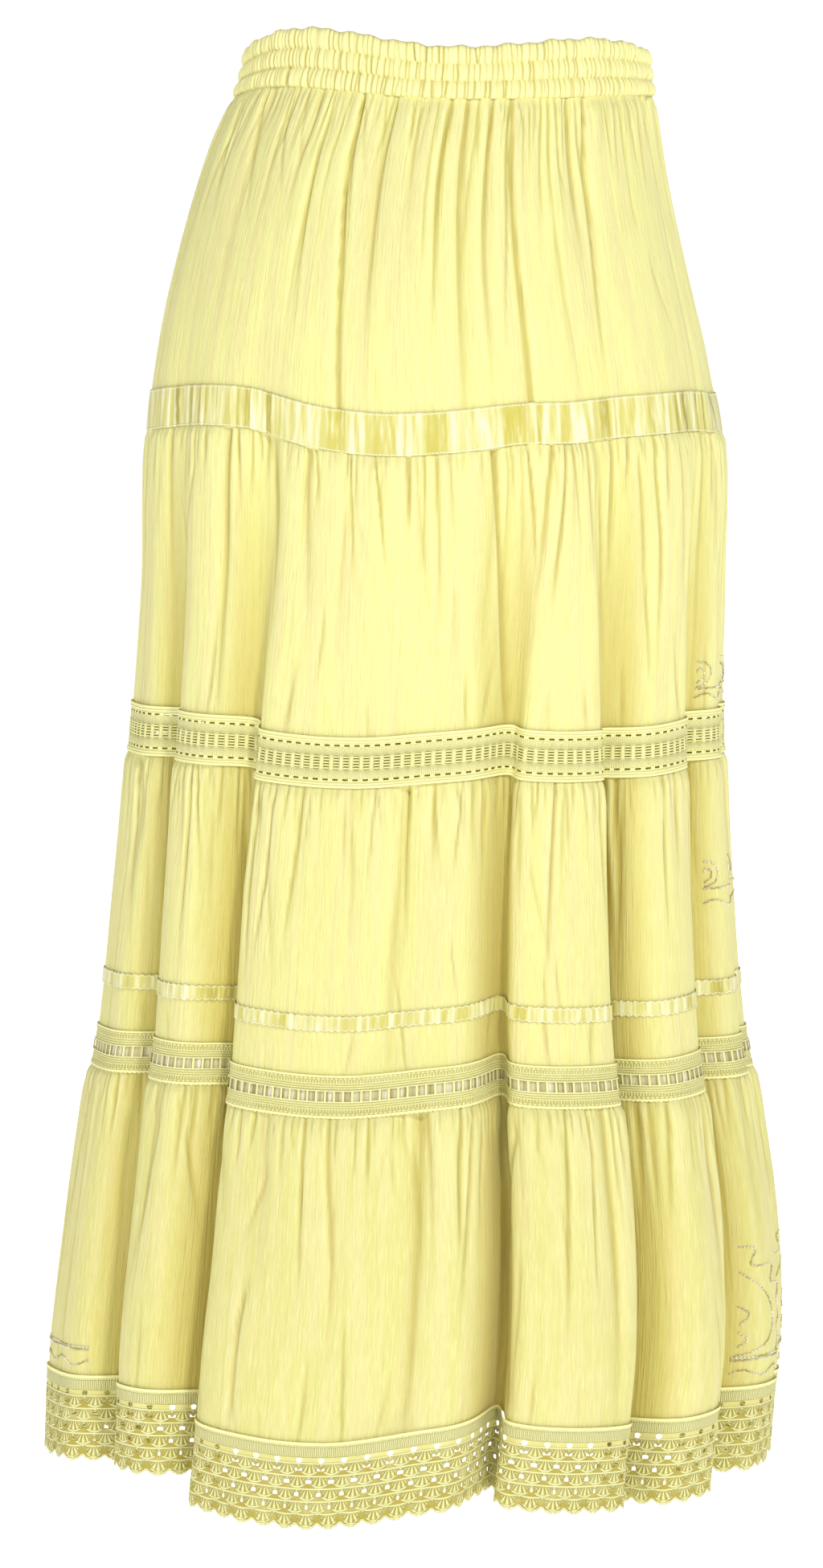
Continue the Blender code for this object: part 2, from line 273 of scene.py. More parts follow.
class Relief:
    """How far a gathered strip stands out from its surface, on a grid of rows and columns."""

    def __init__(self, strip, rows, pitch, seed):
        self.strip, self.t = strip, np.asarray(rows, float)
        self.s = strip.columns(pitch)
        self.d = self.t[:, None] * strip.height
        self.out = np.zeros((len(self.t), len(self.s)))
        self.rng = np.random.default_rng(seed)

    def crease(self, start, depth, width, top, reach, lean=0.0, one_side=0.0, wander=0.0, sharp=0.35):
        """One crease from a distance below the head, or from the foot up where reach is negative. It
        widens and fades over its reach, and wanders to the sides. one_side from -1 to 1 makes one flank
        steeper than the other, as where a pleat laps over."""
        step = self.strip.length / len(self.s)
        d = self.d if reach > 0 else self.strip.height - self.d
        reach = abs(reach)
        span = int(np.ceil((6 * width + abs(lean) * reach + abs(wander)) / step)) + 2
        near = (int(round(start / step)) + np.arange(-span, span + 1))
        down = np.maximum(d - top, 0)
        path = lean * down + wander * np.sin(down / 0.021 + start * 40) * ease(down, 0, 0.03)
        away = near[None, :] * step - start - path
        wide = width * (0.7 + 0.9 * down / reach)
        side = np.where(away > 0, 1 + 0.6 * one_side, 1 - 0.6 * one_side)
        x = away / (wide * side)
        shape = np.exp(sharp - np.sqrt(x * x + sharp * sharp))
        fade = (1 - ease(d, top + 0.2 * reach, top + reach)) * ease(d, top - 0.02, top + 0.004)
        self.out[:, near % len(self.s)] -= depth * fade * shape

    def gathers(self, *layer):
        """Creases all the way round from the head, at about one pitch from each other. The layer has its
        lengths in tenths of a millimetre, then its shares in hundredths."""
        pitch, depth, width, reach, top, wander = (length / 10000 for length in layer[:6])
        spread, lean, one_side = (share / 100 for share in layer[6:])
        count = round(self.strip.length / pitch)
        starts = (np.arange(count) + self.rng.uniform(-0.42, 0.42, count)) * self.strip.length / count
        for start in starts:
            size = np.exp(self.rng.normal(0, spread))
            self.crease(start, depth * min(size, 2.2), width * self.rng.uniform(0.6, 1.5),
                        top * self.rng.uniform(0, 1), reach * min(size, 2.5) * self.rng.uniform(0.5, 1.2),
                        lean * self.rng.normal(), one_side * self.rng.choice((-1, 1)),
                        wander * self.rng.normal())

    def photographed(self, x, z, x_end, z_end, depth, width, one_side):
        """A crease between two places that the photo shows on the back, and its like on the front. The
        arguments are a row of a table of creases."""
        x, z, x_end, z_end = x / 1000, z / 1000, x_end / 1000, z_end / 1000
        depth, width, one_side = depth / 10000, width / 10000, one_side / 10
        start, end = self.strip.seen_at(x, z), self.strip.seen_at(x_end, z_end)
        top = max(self.strip.below_head(start, z), 0.0)
        reach = max(self.strip.below_head(end, z_end) - top, 0.01)
        lean = float(np.clip((end - start) / reach, -0.35, 0.35))
        self.crease(start, depth, width, top, reach, lean, one_side)
        self.crease(self.strip.opposite(start), depth, width, top, reach, -lean, -one_side)

    def shades(self):
        """Per point, from 0 to 1: how deep it lies in a crease, for the painted crease shade, and how high
        it stands above its neighbours, for the painted highlight on the ridges.
        """
        step = self.s[1] - self.s[0]
        crease_shade, ridge_highlight = creased(self.out, step, FINE_REACH, FINE_FULL)
        broad_crease_shade, broad_ridge_highlight = creased(self.out, step, BROAD_REACH, BROAD_FULL)
        return np.clip(0.65 * crease_shade + 0.5 * broad_crease_shade, 0, 1), np.clip(0.6 * ridge_highlight + 0.5 * broad_ridge_highlight, 0, 1)

    def settle(self, puff, foot_flat=0.016, foot_left=0.25, seam_pull=0.0006):
        """Centres the relief, lets the cloth puff out under its seam, and flattens it towards its foot."""
        self.out -= self.out.mean(axis=1, keepdims=True) * EVENED
        self.out += puff * (1 - np.exp(-np.maximum(self.d, 0) / PUFF_RISE)) * np.exp(-self.d / PUFF_FADE)
        below = self.strip.height - self.d
        self.out *= foot_left + (1 - foot_left) * ease(below, 0.0, foot_flat)
        self.out *= HEAD_LEFT + (1 - HEAD_LEFT) * ease(self.d, -0.001, 0.007)
        for seam in (LEFT_SEAM, RIGHT_SEAM):
            middle = np.interp(seam, self.strip.fine, self.strip.along)
            away = (self.s - middle + self.strip.length / 2) % self.strip.length - self.strip.length / 2
            self.out -= seam_pull * np.exp(-((away / SEAM_HALF) ** 2))[None, :]
        return self

    def at(self, s, t):
        """The relief between the grid's points."""
        s, t = np.broadcast_arrays(np.asarray(s, float), np.asarray(t, float))
        column = s / self.strip.length * len(self.s)
        row = np.interp(t, self.t, np.arange(len(self.t)))
        c, r = np.floor(column).astype(int), np.minimum(row.astype(int), len(self.t) - 2)
        across, down = column - c, row - r
        count = len(self.s)
        upper = self.out[r, c % count] * (1 - across) + self.out[r, (c + 1) % count] * across
        lower = self.out[r + 1, c % count] * (1 - across) + self.out[r + 1, (c + 1) % count] * across
        return upper * (1 - down) + lower * down


def rows_from_head(height, first, last, tuck_head, tuck_foot):
    """Rows from a tuck above the head to a tuck below the foot, closest together at the head."""
    downs = [-tuck_head, 0.0]
    while downs[-1] < height:
        share = downs[-1] / height
        downs.append(downs[-1] + first + (last - first) * min(1.0, share * 2.2))
    scale = height / downs[-1]
    return np.array([downs[0], *(d * scale for d in downs[1:]), height + tuck_foot]) / height


# ---------------------------------------------------------------- meshes


def placed(name, data):
    """A new object in the scene."""
    made = bpy.data.objects.new(name, data)
    bpy.context.scene.collection.objects.link(made)
    return made


def ring_mesh(name, points, s, d, length, material, keep=None):
    """A shell from a closed ring of points: rows from the top down, columns round. Its UV map holds
    the distance round and the distance down."""
    rows, count = points.shape[:2]
    index = np.arange(rows * count).reshape(rows, count)

    def at_corners(values, turn=0):
        values = np.broadcast_to(values, (rows, count))
        right = np.roll(values, -1, axis=1)
        right[:, -1] += turn
        return np.stack([values[:-1], values[1:], right[1:], right[:-1]], -1).reshape(-1, 4)

    quads, u, v = at_corners(index), at_corners(s, length), at_corners(d)
    if keep is not None:
        chosen = keep.reshape(-1)
        quads, u, v = quads[chosen], u[chosen], v[chosen]
    used, quads = np.unique(quads, return_inverse=True)
    quads = quads.reshape(-1, 4)
    mesh = bpy.data.meshes.new(name)
    mesh.vertices.add(len(used))
    mesh.vertices.foreach_set("co", points.reshape(-1, 3)[used].ravel())
    mesh.loops.add(quads.size)
    mesh.loops.foreach_set("vertex_index", quads.ravel().astype(np.int32))
    mesh.polygons.add(len(quads))
    mesh.polygons.foreach_set("loop_start", np.arange(0, quads.size, 4, dtype=np.int32))
    mesh.polygons.foreach_set("use_smooth", np.ones(len(quads), bool))
    layer = mesh.uv_layers.new(name="cloth")
    layer.data.foreach_set("uv", np.stack([u, v], -1).ravel())
    mesh.update(calc_edges=True)
    mesh.validate()
    mesh.materials.append(material)
    return placed(name, mesh)


def colour_by(piece, name, values):
    """Keeps one number a vertex on the mesh, for its material to read."""
    layer = piece.data.attributes.new(name, "FLOAT", "POINT")
    layer.data.foreach_set("value", np.asarray(values, float).ravel())


# ---------------------------------------------------------------- materials


class Field:
    """A number that a material works out at each point, written like arithmetic."""

    def __init__(self, tree, socket):
        self.tree, self.socket = tree, socket

    def do(self, operation, *others):
        node = self.tree.nodes.new("ShaderNodeMath")
        node.operation = operation
        for port, value in zip(node.inputs, (self, *others)):
            if isinstance(value, Field):
                self.tree.links.new(value.socket, port)
            else:
                port.default_value = float(value)
        return Field(self.tree, node.outputs[0])

    def __add__(self, other):
        return self.do("ADD", other)

    def __sub__(self, other):
        return self.do("SUBTRACT", other)

    def __mul__(self, other):
        return self.do("MULTIPLY", other)

    def __truediv__(self, other):
        return self.do("DIVIDE", other)

    def __neg__(self):
        return self * -1.0

    __radd__, __rmul__ = __add__, __mul__

    def __rsub__(self, other):
        return -self + other


def either(operation, plain):
    """A function that takes fields as well as plain numbers."""
    return lambda x, *others: x.do(operation, *others) if isinstance(x, Field) else plain(x, *others)


sine, size, root = either("SINE", np.sin), either("ABSOLUTE", np.abs), either("SQRT", np.sqrt)
whole, least, most = either("FLOOR", np.floor), either("MINIMUM", np.minimum), either("MAXIMUM", np.maximum)


def fraction(x):
    return x - whole(x)


def ramp(x, start, end):
    """0 before start and 1 after end, with a straight ramp between."""
    return least(most((x - start) * (1.0 / (end - start)), 0.0), 1.0)


def cord_line(x, half):
    """1 along a line, falling to 0 at half a cord's width from it. x is the distance from the line."""
    t = most(1.0 - size(x) * (1.0 / half), 0.0)
    return t * (2.0 - t)


class Material:
    """A Principled material whose colour and bump come from fields over the UV map, which are the
    distances round and down."""

    def __init__(self, name, roughness, sheen=0.0, anisotropic=0.0, specular=0.3):
        self.made = bpy.data.materials.new(name)
        self.made.use_nodes = True
        self.tree = self.made.node_tree
        self.shader = self.tree.nodes["Principled BSDF"]
        self.shader.inputs["Roughness"].default_value = roughness
        self.shader.inputs["Sheen Weight"].default_value = sheen
        self.shader.inputs["Anisotropic"].default_value = anisotropic
        self.shader.inputs["Specular IOR Level"].default_value = specular
        where = self.tree.nodes.new("ShaderNodeUVMap")
        where.uv_map = "cloth"
        split = self.tree.nodes.new("ShaderNodeSeparateXYZ")
        self.tree.links.new(where.outputs["UV"], split.inputs[0])
        self.u, self.v = Field(self.tree, split.outputs[0]), Field(self.tree, split.outputs[1])

    def noise(self, across, down, detail=2.0, roughness=0.5, shift=0.0):
        """Noise from 0 to 1, with so many waves a metre across and down."""
        joined = self.tree.nodes.new("ShaderNodeCombineXYZ")
        for port, value in zip(joined.inputs, (self.u * across + shift, self.v * down)):
            self.tree.links.new(value.socket, port)
        texture = self.tree.nodes.new("ShaderNodeTexNoise")
        texture.noise_dimensions = "2D"
        texture.inputs["Scale"].default_value = 1.0
        texture.inputs["Detail"].default_value = detail
        texture.inputs["Roughness"].default_value = roughness
        self.tree.links.new(joined.outputs[0], texture.inputs["Vector"])
        return Field(self.tree, texture.outputs["Fac"])

    def stored(self, name):
        node = self.tree.nodes.new("ShaderNodeAttribute")
        node.attribute_name = name
        return Field(self.tree, node.outputs["Fac"])

    def colours(self, base, *layers):
        """A base colour with others mixed over it, each by a field from 0 to 1."""
        result = None
        for colour, factor in layers:
            mix = self.tree.nodes.new("ShaderNodeMix")
            mix.data_type = "RGBA"
            mix.clamp_factor = True
            self.tree.links.new(factor.socket, mix.inputs["Factor"])
            under, over = [port for port in mix.inputs if port.type == "RGBA"]
            if result is None:
                under.default_value = (*base, 1)
            else:
                self.tree.links.new(result, under)
            over.default_value = (*colour, 1)
            result = [port for port in mix.outputs if port.type == "RGBA"][0]
        self.tree.links.new(result, self.shader.inputs["Base Color"])

    def bump(self, height):
        """Bump from a height field in metres."""
        node = self.tree.nodes.new("ShaderNodeBump")
        node.inputs["Strength"].default_value = 1.0
        node.inputs["Distance"].default_value = 1.0
        self.tree.links.new(height.socket, node.inputs["Height"])
        self.tree.links.new(node.outputs["Normal"], self.shader.inputs["Normal"])


# Linear colours: the cloth with its random tones, the painted shade of its creases and large folds, and the
# colours of the satin, the lace and the silver thread with their painted shade.
GAUZE, GAUZE_DEEP, GAUZE_PALE = (0.91, 0.88, 0.35), (0.85, 0.79, 0.27), (0.95, 0.94, 0.47)
GAUZE_CREASE_SHADE, GAUZE_FOLD_SHADE, GAUZE_WARM = (0.56, 0.46, 0.11), (0.66, 0.55, 0.12), (0.87, 0.78, 0.36)
SATIN, SATIN_SHADE, SATIN_PALE = (0.8, 0.76, 0.33), (0.62, 0.54, 0.08), (0.97, 0.96, 0.66)
SATIN_OLIVE_SHADE = (0.36, 0.3, 0.09)
LACE, LACE_GAP_SHADE, LACE_PALE = (0.92, 0.88, 0.36), (0.5, 0.41, 0.08), (0.96, 0.94, 0.48)
SILVER, SILVER_SHADE, SILVER_PALE = (0.76, 0.71, 0.42), (0.45, 0.37, 0.12), (0.95, 0.94, 0.8)


WEAVE, WEFT, PICOT = 0.0009, 0.0007, 0.0022         # lengths of a repeat


def gauze(name, crinkle=0.00034, base=GAUZE, crease=0.65):
    """Thin crinkled cotton: an open weave with fine upright crinkles."""
    made = Material(name, roughness=0.88, sheen=0.15, specular=0.15)
    crinkles = made.noise(560, 20, detail=4, roughness=0.65)
    folds = made.noise(130, 8, detail=3, shift=7.3)
    slubs = made.noise(1200, 60, detail=2, shift=3.1)
    warm = made.noise(95, 7, detail=3, shift=9.7)
    weave = sine(made.u * (2 * math.pi / WEAVE)) * sine(made.v * (2 * math.pi / WEAVE))
    made.bump(crinkles * crinkle * 3.2 + folds * crinkle * 3.4 + weave * 0.000012)
    # The last three layers are painted light: painted shade in the large folds, a painted highlight on the
    # ridges and painted shade in the creases, its strength set by crease. The others are the cloth's random
    # tones.
    made.colours(
        base, (GAUZE_WARM, ramp(warm, 0.44, 0.6) * 0.75), (GAUZE_DEEP, ramp(crinkles, 0.48, 0.68) * 0.6),
        (GAUZE_PALE, ramp(slubs, 0.50, 0.70) * 0.45), (GAUZE_FOLD_SHADE, made.stored("fold") * 0.80),
        (GAUZE_PALE, made.stored("ridge_highlight") * 0.50), (GAUZE_CREASE_SHADE, made.stored("crease_shade") * crease))
    return made


def satin(name, width, base=SATIN, deep=SATIN_SHADE, pale=SATIN_PALE):
    """A satin ribbon with a stitched picot line along each edge."""
    made = Material(name, roughness=0.34, anisotropic=0.5, specular=0.5)
    wrinkles = made.noise(260, 22, detail=2)
    weft = sine(made.v * (2 * math.pi / WEFT))
    edge = least(made.v, width - made.v)
    stitch = cord_line(edge - 0.0009, 0.0006) * (0.6 + 0.4 * sine(made.u * (2 * math.pi / PICOT)))
    made.bump(wrinkles * 0.0005 + weft * 0.000008 + stitch * 0.00035)
    # Painted shade and painted sheen on the satin, following the noise of its wrinkles.
    layers = [(deep, ramp(-wrinkles, -0.5, -0.34) * 0.55), (pale, ramp(wrinkles, 0.52, 0.68) * 0.8)]
    mottle = ramp(made.noise(500, 60, detail=3, shift=5), 0.2, 0.55)
    # The shade attribute paints darker stretches of the satin's reflection, olive where darkest; the pale
    # stitch line is the stitching's own colour.
    shade = made.stored("shade")
    made.colours(base, *layers, (deep, shade * mottle * 1.1),
                 (SATIN_OLIVE_SHADE, ramp(shade, 0.82, 1.0) * mottle * 0.8), (pale, stitch * 0.9))
    return made


# The crochet insertion. Its pattern mirrors about its middle line, so lengths are from that line.
CELL = 0.0067                      # from one window to the next
WINDOW_HALF, WINDOW_TALL = 0.0019, 0.0046
HOLES_AT, BRAID_AT = 0.0112, 0.0134
THREAD_HALF, THREAD_STEP = 0.0006, 0.00184


def insertion_pattern(cell, w):
    """How far a thread stands up, 0 to 1. cell counts windows, and w is the distance from the middle."""
    x = (fraction(cell) - 0.5) * CELL
    bars = (size(x) - CELL / 2) * -1.0
    in_window = (ramp(-size(x), -WINDOW_HALF - 0.0002, -WINDOW_HALF + 0.0002)
                 * ramp(-w, -WINDOW_TALL, -WINDOW_TALL + 0.0004))
    threads = cord_line((fraction(w / THREAD_STEP + 0.5) - 0.5) * THREAD_STEP, 0.00062)
    rim = cord_line(bars - 0.0005, 0.0007)
    turn = bars / (w - 0.0022)
    fans = (cord_line(fraction(turn * 5.0 + 0.5) - 0.5, 0.45)
            * ramp(w, 0.0044, 0.0052) * ramp(-w, -0.0105, -0.0098))
    hole = ramp(-size(x), -0.0017, -0.0012) * ramp(-size(w - HOLES_AT), -0.0009, -0.0004)
    band = ramp(w, 0.01, 0.0104) * ramp(-w, -BRAID_AT + 0.0006, -BRAID_AT + 0.0012) * 0.75
    braid = most(cord_line(w - BRAID_AT - 0.0004, 0.0009), ramp(w, 0.0145, 0.0152) * 0.9)
    body = most(most(most(rim * ramp(-w, -0.0048, -0.0042), fans), most(band, braid)), 0.2)
    return most(body * (1.0 - in_window) * (1.0 - hole), in_window * threads * 0.8)


# The beading. Its windows hold a ribbon.
BEAD = 0.006
BEAD_HALF, BEAD_TALL = 0.0023, 0.0033


def beading_pattern(cell, w):
    x = (fraction(cell) - 0.5) * BEAD
    across = size(x)
    inside = ramp(-across, -BEAD_HALF, -BEAD_HALF + 0.0003) * ramp(-w, -BEAD_TALL, -BEAD_TALL + 0.0003)
    rim = cord_line(most(across - BEAD_HALF, w - BEAD_TALL) - 0.0004, 0.0008)
    twist = 0.75 + 0.25 * sine(cell * (2 * math.pi * 3) + w * 3000)
    rows = most(cord_line(w - 0.0053, 0.0008), cord_line(w - 0.0068, 0.0008))
    rows = most(rows, cord_line(w - 0.0083, 0.0008)) * twist
    picots = cord_line(w - 0.0115, 0.0009) * (0.55 + 0.45 * sine(cell * (2 * math.pi * 2)))
    picots = most(picots, ramp(w, 0.012, 0.0125) * 0.9)
    posts = (cord_line((fraction(cell * 3) - 0.5) * (BEAD / 3), 0.0007)
             * ramp(w, 0.0084, 0.0088) * ramp(-w, -0.011, -0.0104))
    return most(most(most(rim, rows), most(picots, posts)), 0.12) * (1.0 - inside)


# The hem lace: a heading of upright stitches, a row of eyelets, then rows of staggered shells.
SHELL, SHELL_ROW = 0.015, 0.0085
HEADING = 0.0088
SHELLS_FROM, SHELLS_TO = 0.012, 0.049
BOW_HALF, BOW_TALL, BOW_AT = 0.003, 0.00135, 0.0041    # the opening beside a shell
EYELET_HALF, EYELET_TALL, EYELET_AT = 0.0023, 0.00165, 0.0106


def shell_place(cell, v):
    """Where a point is in its shell: across from its middle and down from its top, in metres."""
    row = (v - SHELLS_FROM) / SHELL_ROW
    return (fraction(cell + 0.5 * whole(row)) - 0.5) * SHELL, fraction(row) * SHELL_ROW


def hem_openings(cell, v):
    """Distance to the nearest opening's edge, less than 0 inside it."""
    x, y = shell_place(cell, v)
    side = SHELL / 2 - abs(x)
    bow = np.sqrt((side / BOW_HALF) ** 2 + ((y - BOW_AT - 0.25 * side) / BOW_TALL) ** 2) - 1
    shells = np.where((v > SHELLS_FROM + 0.001) & (v < SHELLS_TO), bow * BOW_TALL, 1.0)
    big = np.abs((cell + 0.5) % 1 - 0.5) * SHELL
    eyelet = (np.sqrt((big / EYELET_HALF) ** 2 + ((v - EYELET_AT) / EYELET_TALL) ** 2) - 1) * EYELET_TALL
    small = np.abs(big - 0.004)
    eyelets = (np.sqrt((small / 0.0011) ** 2 + ((v - 0.0104) / 0.0009) ** 2) - 1) * 0.0009
    return np.minimum(shells, np.minimum(eyelet, eyelets))


def hem_pattern(cell, v):
    """How far a thread stands up, 0 to 1."""
    heading = (cord_line((fraction(cell * 12) - 0.5) * (SHELL / 12), 0.00075)
               * ramp(v, 0.0018, 0.0022) * ramp(-v, -HEADING, -HEADING + 0.0006))
    top = cord_line(v - 0.0011, 0.0011) * (0.7 + 0.3 * sine(cell * (2 * math.pi * 8)))
    foot = cord_line(v - 0.0125, 0.0009)
    x, y = shell_place(cell, v)
    side = SHELL / 2 - size(x)
    far = root(x * x + y * y)
    turn = x / (y + 0.0016)
    rays = (cord_line(fraction(turn * 2.2 + 0.5) - 0.5, 0.4)
            * ramp(-far, -0.0078, -0.0068) * ramp(y, 0.0006, 0.0014))
    arch = cord_line(far - 0.0078, 0.001)
    ledge = cord_line(y - 0.0006, 0.001)
    low = y - BOW_AT - 0.25 * side
    near = root((side * side) * (1 / 3.0 ** 2) + low * low * (1 / 1.35 ** 2))
    bow = ramp(near, 0.001, 0.0014)
    shells = most(most(rays * 0.85, arch), ledge * 0.8) * bow * ramp(v, SHELLS_FROM, SHELLS_FROM + 0.0006)
    edge = ramp(-v, -0.0011, -0.0006)
    eyelet_row = ramp(v, HEADING - 0.0006, HEADING) * ramp(-v, -0.013, -0.0122) * 0.35
    return most(most(most(heading, top), most(foot, shells)), most(most(edge, eyelet_row), 0.06))


def lace(name, pattern, cell, relief=0.0006, deep=0.5):
    """Crochet thread: raised where the pattern has a thread, with painted shade in its gaps and a painted
    highlight on its raised threads. cell is the length of a repeat, which the UV map counts, and deep the
    strength of the painted shade in the gaps."""
    made = Material(name, roughness=0.85, sheen=0.1, specular=0.2)
    height = pattern(made)
    twist = made.noise(2400 * cell, 2400, detail=1)
    tone = made.noise(60 * cell, 60, detail=2, shift=2)
    made.bump(height * relief + twist * 0.00006)
    # Painted highlight on the raised threads, painted shade in the gaps, then a random paler tone.
    made.colours(LACE, (LACE_PALE, ramp(height, 0.55, 1.0) * 0.75),
                 (LACE_GAP_SHADE, ramp(-height, -0.52, -0.08) * deep), (LACE_PALE, ramp(tone, 0.5, 0.7) * 0.25))
    return made


# ---------------------------------------------------------------- the pieces

UNDER = 0.0022                     # how far a tier's edge reaches under the band next to it
BAND_OUT = 0.0009                  # how far the bands lie outside the tiers
RIPPLES, PUCKER = 60, 0.0045       # waves in a ribbon's ripple, and the length of a pucker at its edges


def take(piece):
    """Puts a piece in the frame, in place of the CAD nodes of its two halves."""
    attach(piece, "root")
    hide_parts(*(f"{piece.name}_{side}" for side in ("back", "front")))


def fold_shade(angle, z):
    """How deep a point lies in one of the large folds, from 0 to 1, as the strength of the painted shade
    there. The tone reaches further on a fold's open side."""
    down = np.clip(z / HEM_Z, 0, 1)
    tone = np.zeros(angle.shape)
    for top, bottom, half_width, share, lip in FOLDS:
        away = (angle - (top + (bottom - top) * down) + 180) % 360 - 180
        reach = half_width * np.where(away * lip < 0, 1.45, 0.95)
        tone = np.maximum(tone, (0.4 + 0.6 * share) * (1 - ease(abs(away) / reach, 0.45, 1.15)))
    return tone * ease(smooth(FOLD_DEPTH, z), 0.001, 0.022)


def tier(name, head, foot, pitch, rows, seed, gathers, puff, material, drawn, foot_flat=0.016,
         foot_left=0.25):
    """A tier between two seams. pitch is the grid's step round it, rows the steps down it, and drawn the
    creases read from the photo."""
    strip = Strip(head, foot)
    relief = Relief(strip, rows_from_head(strip.height, *rows, UNDER, UNDER), pitch, seed)
    for layer in gathers:
        relief.gathers(*layer)
    for crease in drawn:
        relief.photographed(*crease)
    relief.settle(puff, foot_flat, foot_left)
    t = relief.t[:, None]
    tuck = -BAND_OUT * ((t < 0) | (t > 1))
    points = strip.at(relief.s[None, :], t, relief.out + tuck)
    piece = ring_mesh(name, points, relief.s[None, :], t * strip.height, strip.length, material.made)
    # Per vertex: how deep in a crease and how high on the ridges, for the painted crease shade and the
    # painted highlight.
    crease_shade, ridge_highlight = relief.shades()
    colour_by(piece, "crease_shade", crease_shade)
    colour_by(piece, "ridge_highlight", ridge_highlight)
    # The fold attribute holds the painted shade in the large folds.
    colour_by(piece, "fold", fold_shade(*strip.where(relief.s[None, :], t)))
    return piece, strip, relief


def on_tier(name, strip, relief, head_t, foot_t, count, out, material, ripple, seed, shades=(), pucker=0.0):
    """A ribbon sewn on a tier. It follows the tier's relief, with ripples of its own."""
    rng = np.random.default_rng(seed)
    s = relief.s
    t = np.linspace(head_t, foot_t, count)[:, None]
    waves = np.zeros(len(s))
    for _ in range(RIPPLES):
        waves += np.cos(2 * np.pi * s / strip.length * rng.integers(60, 260) + rng.uniform(0, 6.3)) / 7.5
    across = np.linspace(0, 1, count)[:, None]
    hem = (2 * across - 1) ** 2
    lift = relief.at(s[None, :], t) + out + ripple * waves * (1 - 0.5 * hem)
    puckers = np.sin(2 * np.pi * s / PUCKER)[None, :]
    down = t + pucker * puckers * (2 * across - 1) / strip.height
    points = strip.at(s[None, :], down, lift)
    width = (foot_t - head_t) * strip.height
    piece = ring_mesh(name, points, s[None, :], across * width, strip.length, material.made)
    # Painted shade: darker where the ribbon slopes away, and darker stretches of its satin reflection from
    # the shades table.
    shade = np.zeros(len(s))
    slope = np.gradient(relief.at(s, np.full(len(s), (head_t + foot_t) / 2)) + 0.6 * ripple * waves)
    shade += 0.55 * ease(np.abs(slope), 0.00016, 0.0006)
    middle_z = float(np.mean(strip.where(s, (head_t + foot_t) / 2)[1]))
    for x, half, amount in shades:
        seen, half, amount = strip.seen_at(x / 10000, middle_z), half / 10000, amount / 100
        for at in (seen, strip.opposite(seen)):
            away = np.abs((s - at + strip.length / 2) % strip.length - strip.length / 2)
            shade = np.maximum(shade, amount * (1 - ease(away, half * 0.75, half * 1.15)))
    colour_by(piece, "shade", np.broadcast_to(np.clip(shade, 0, 1), (count, len(s))))
    return piece


# Waistband: three elastic casings, shirred upright.
CASINGS, PUFF, SHIRR, SHIRR_DEEPEST = 3, 0.0034, 0.0036, 0.0032
band = Strip(waist_top, waist_seam)
band_s = band.columns(0.00066)
band_t = np.concatenate([[0.0], np.linspace(0.02, 1.0, 25)])
rng = np.random.default_rng(11)
shirring = np.zeros((len(band_t), len(band_s)))
for casing in range(CASINGS):
    inside = (band_t >= casing / CASINGS - 0.01) & (band_t <= (casing + 1) / CASINGS + 0.01)
    share = (band_t[inside] * CASINGS - casing)[:, None]
    count = round(band.length / SHIRR)
    starts = (np.arange(count) + rng.uniform(-0.32, 0.32, count)) * band.length / count
    layer = np.zeros((inside.sum(), len(band_s)))
    step = band.length / len(band_s)
    for start in starts:
        lean = rng.normal(0, 0.0006)
        depth = min(0.0016 * np.exp(rng.normal(0, 0.55)), SHIRR_DEEPEST)
        width = rng.uniform(0.0004, 0.0007)
        near = int(round(start / step)) + np.arange(-8, 9)
        away = near[None, :] * step - start - lean * (share - 0.5)
        layer[:, near % len(band_s)] -= depth * np.exp(0.3 - np.sqrt((away / width) ** 2 + 0.09))
    arch = np.sqrt(np.clip(1 - (2 * share - 1) ** 2, 0, 1))
    shirring[inside] = layer * (0.45 + 0.55 * arch) + PUFF * arch - 0.001
top_wave = 0.0011 * np.sin(2 * np.pi * band_s / 0.021) * np.sin(2 * np.pi * band_s / 0.057 + 1)
outer = band.at(band_s[None, :], band_t[:, None], 0.0012 + shirring)
outer[..., 2] += (top_wave[None, :] + shirring[3][None, :] * 0.2) * (1 - ease(band_t, 0, 0.25))[:, None]
inner_t = np.linspace(0.96, 0.03, 7)
inner = band.at(band_s[None, :], inner_t[:, None], np.full((7, len(band_s)), -0.0014) + 0.35 * shirring[6:7]
                - 0.0006)
inner[..., 2] += top_wave[None, :] * (1 - ease(inner_t, 0, 0.25))[:, None]
casing_cloth = gauze("casing_cotton", crinkle=0.00016, base=(0.95, 0.93, 0.42), crease=0.70)
both = np.concatenate([inner, outer])
down_both = np.concatenate([-inner_t, band_t])[:, None] * band.height
# Painted shade in the shirring's creases, deepest where it pinches in, and a painted highlight on the
# ridges of its shirring; crease=0.70 sets the painted crease shade.
crease_shade, ridge_highlight = creased(shirring, band.length / len(band_s), 0.0016, 0.0006)
waistband = ring_mesh("waistband", both, band_s[None, :], down_both, band.length, casing_cloth.made)

plain = np.zeros((len(inner_t), len(band_s)))
pinch_shade = np.clip((0.0012 - shirring) / 0.0022, 0, 1) * 0.5
colour_by(waistband, "crease_shade", np.concatenate([plain, np.clip(crease_shade + pinch_shade, 0, 1)]))
colour_by(waistband, "ridge_highlight", np.concatenate([plain, ridge_highlight]))
colour_by(waistband, "fold", np.zeros(both.shape[:2]))

cotton = gauze("cotton")
# Copies of the cotton whose base colour is darker for the lower tiers, darkest at the hem.
cotton_low = gauze("cotton_low", base=(0.865, 0.825, 0.315))
cotton_hem = gauze("cotton_hem", base=(0.80, 0.75, 0.275))

